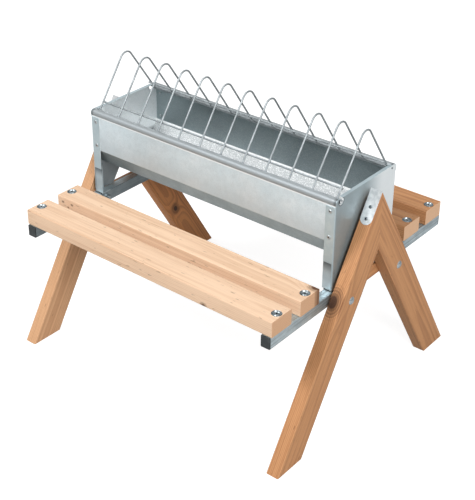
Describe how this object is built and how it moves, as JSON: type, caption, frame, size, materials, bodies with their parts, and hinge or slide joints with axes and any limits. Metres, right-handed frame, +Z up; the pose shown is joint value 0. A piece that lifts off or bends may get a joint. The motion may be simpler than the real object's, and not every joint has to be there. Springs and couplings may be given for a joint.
{
  "type": "legged feed trough",
  "caption": "Raised sheet-metal feed trough with a hinged wire-arch grille, standing on timber A-frame legs with slatted timber perches along both long sides.",
  "frame": {"origin": "on the ground, at the middle of the four feet", "axes": "+X along the trough, towards its right end as seen from the front; +Y from the front perches to the back perches; +Z up"},
  "size_m": [0.8428, 0.72, 0.7192],
  "materials": {
    "galvanised_sheet": "bright galvanised sheet, faintly mottled, semi-gloss",
    "galvanised_steel": "galvanised tube and angle, satin",
    "zinc_wire": "bright zinc-plated welded wire",
    "zinc_fastener": "bright zinc-plated fasteners and strap",
    "black_plastic": "black moulded plastic",
    "timber": "planed softwood, pale, clear oil, open grain with knots"
  },
  "bodies": {
    "frame": {"trough_wall_front": "galvanised_sheet", "trough_wall_back": "galvanised_sheet", "trough_band_front": "galvanised_sheet", "trough_band_back": "galvanised_sheet", "trough_floor": "galvanised_sheet", "end_plate_left": "galvanised_sheet", "end_plate_right": "galvanised_sheet", "trough_rivets": "zinc_fastener", "foot_bracket_left_front": "galvanised_steel", "foot_bracket_left_back": "galvanised_steel", "foot_bracket_right_front": "galvanised_steel", "foot_bracket_right_back": "galvanised_steel", "foot_pads": "black_plastic", "foot_screws": "zinc_fastener", "crossbar_left": "galvanised_steel", "crossbar_right": "galvanised_steel", "cap_left_front": "black_plastic", "cap_left_back": "black_plastic", "cap_right_front": "black_plastic", "cap_right_back": "black_plastic", "perch_front_outer": "timber", "perch_front_inner": "timber", "perch_back_inner": "timber", "perch_back_outer": "timber", "perch_cup_washers": "zinc_fastener", "perch_screws": "zinc_fastener", "leg_left_front": "timber", "leg_left_back": "timber", "leg_right_front": "timber", "leg_right_back": "timber", "slat_left": "timber", "slat_right": "timber", "strap_left": "zinc_fastener", "strap_right": "zinc_fastener", "strap_screws": "zinc_fastener", "frame_bolts": "zinc_fastener", "frame_washers": "zinc_fastener", "frame_nuts": "zinc_fastener"},
    "grille": {"grille_arches_a": "zinc_wire", "grille_arches_b": "zinc_wire", "grille_arches_c": "zinc_wire", "grille_arches_d": "zinc_wire", "grille_hinge_wire": "zinc_wire", "grille_front_wire": "zinc_wire", "grille_inner_wire_front": "zinc_wire", "grille_inner_wire_back": "zinc_wire"}
  },
  "joints": [
    {"name": "grille_hinge", "type": "hinge", "parent": "frame", "child": "grille", "pos_m": [0, 0.1015, 0.589], "axis": [-1, 0, 0], "range_deg": [0, 65]}
  ]
}
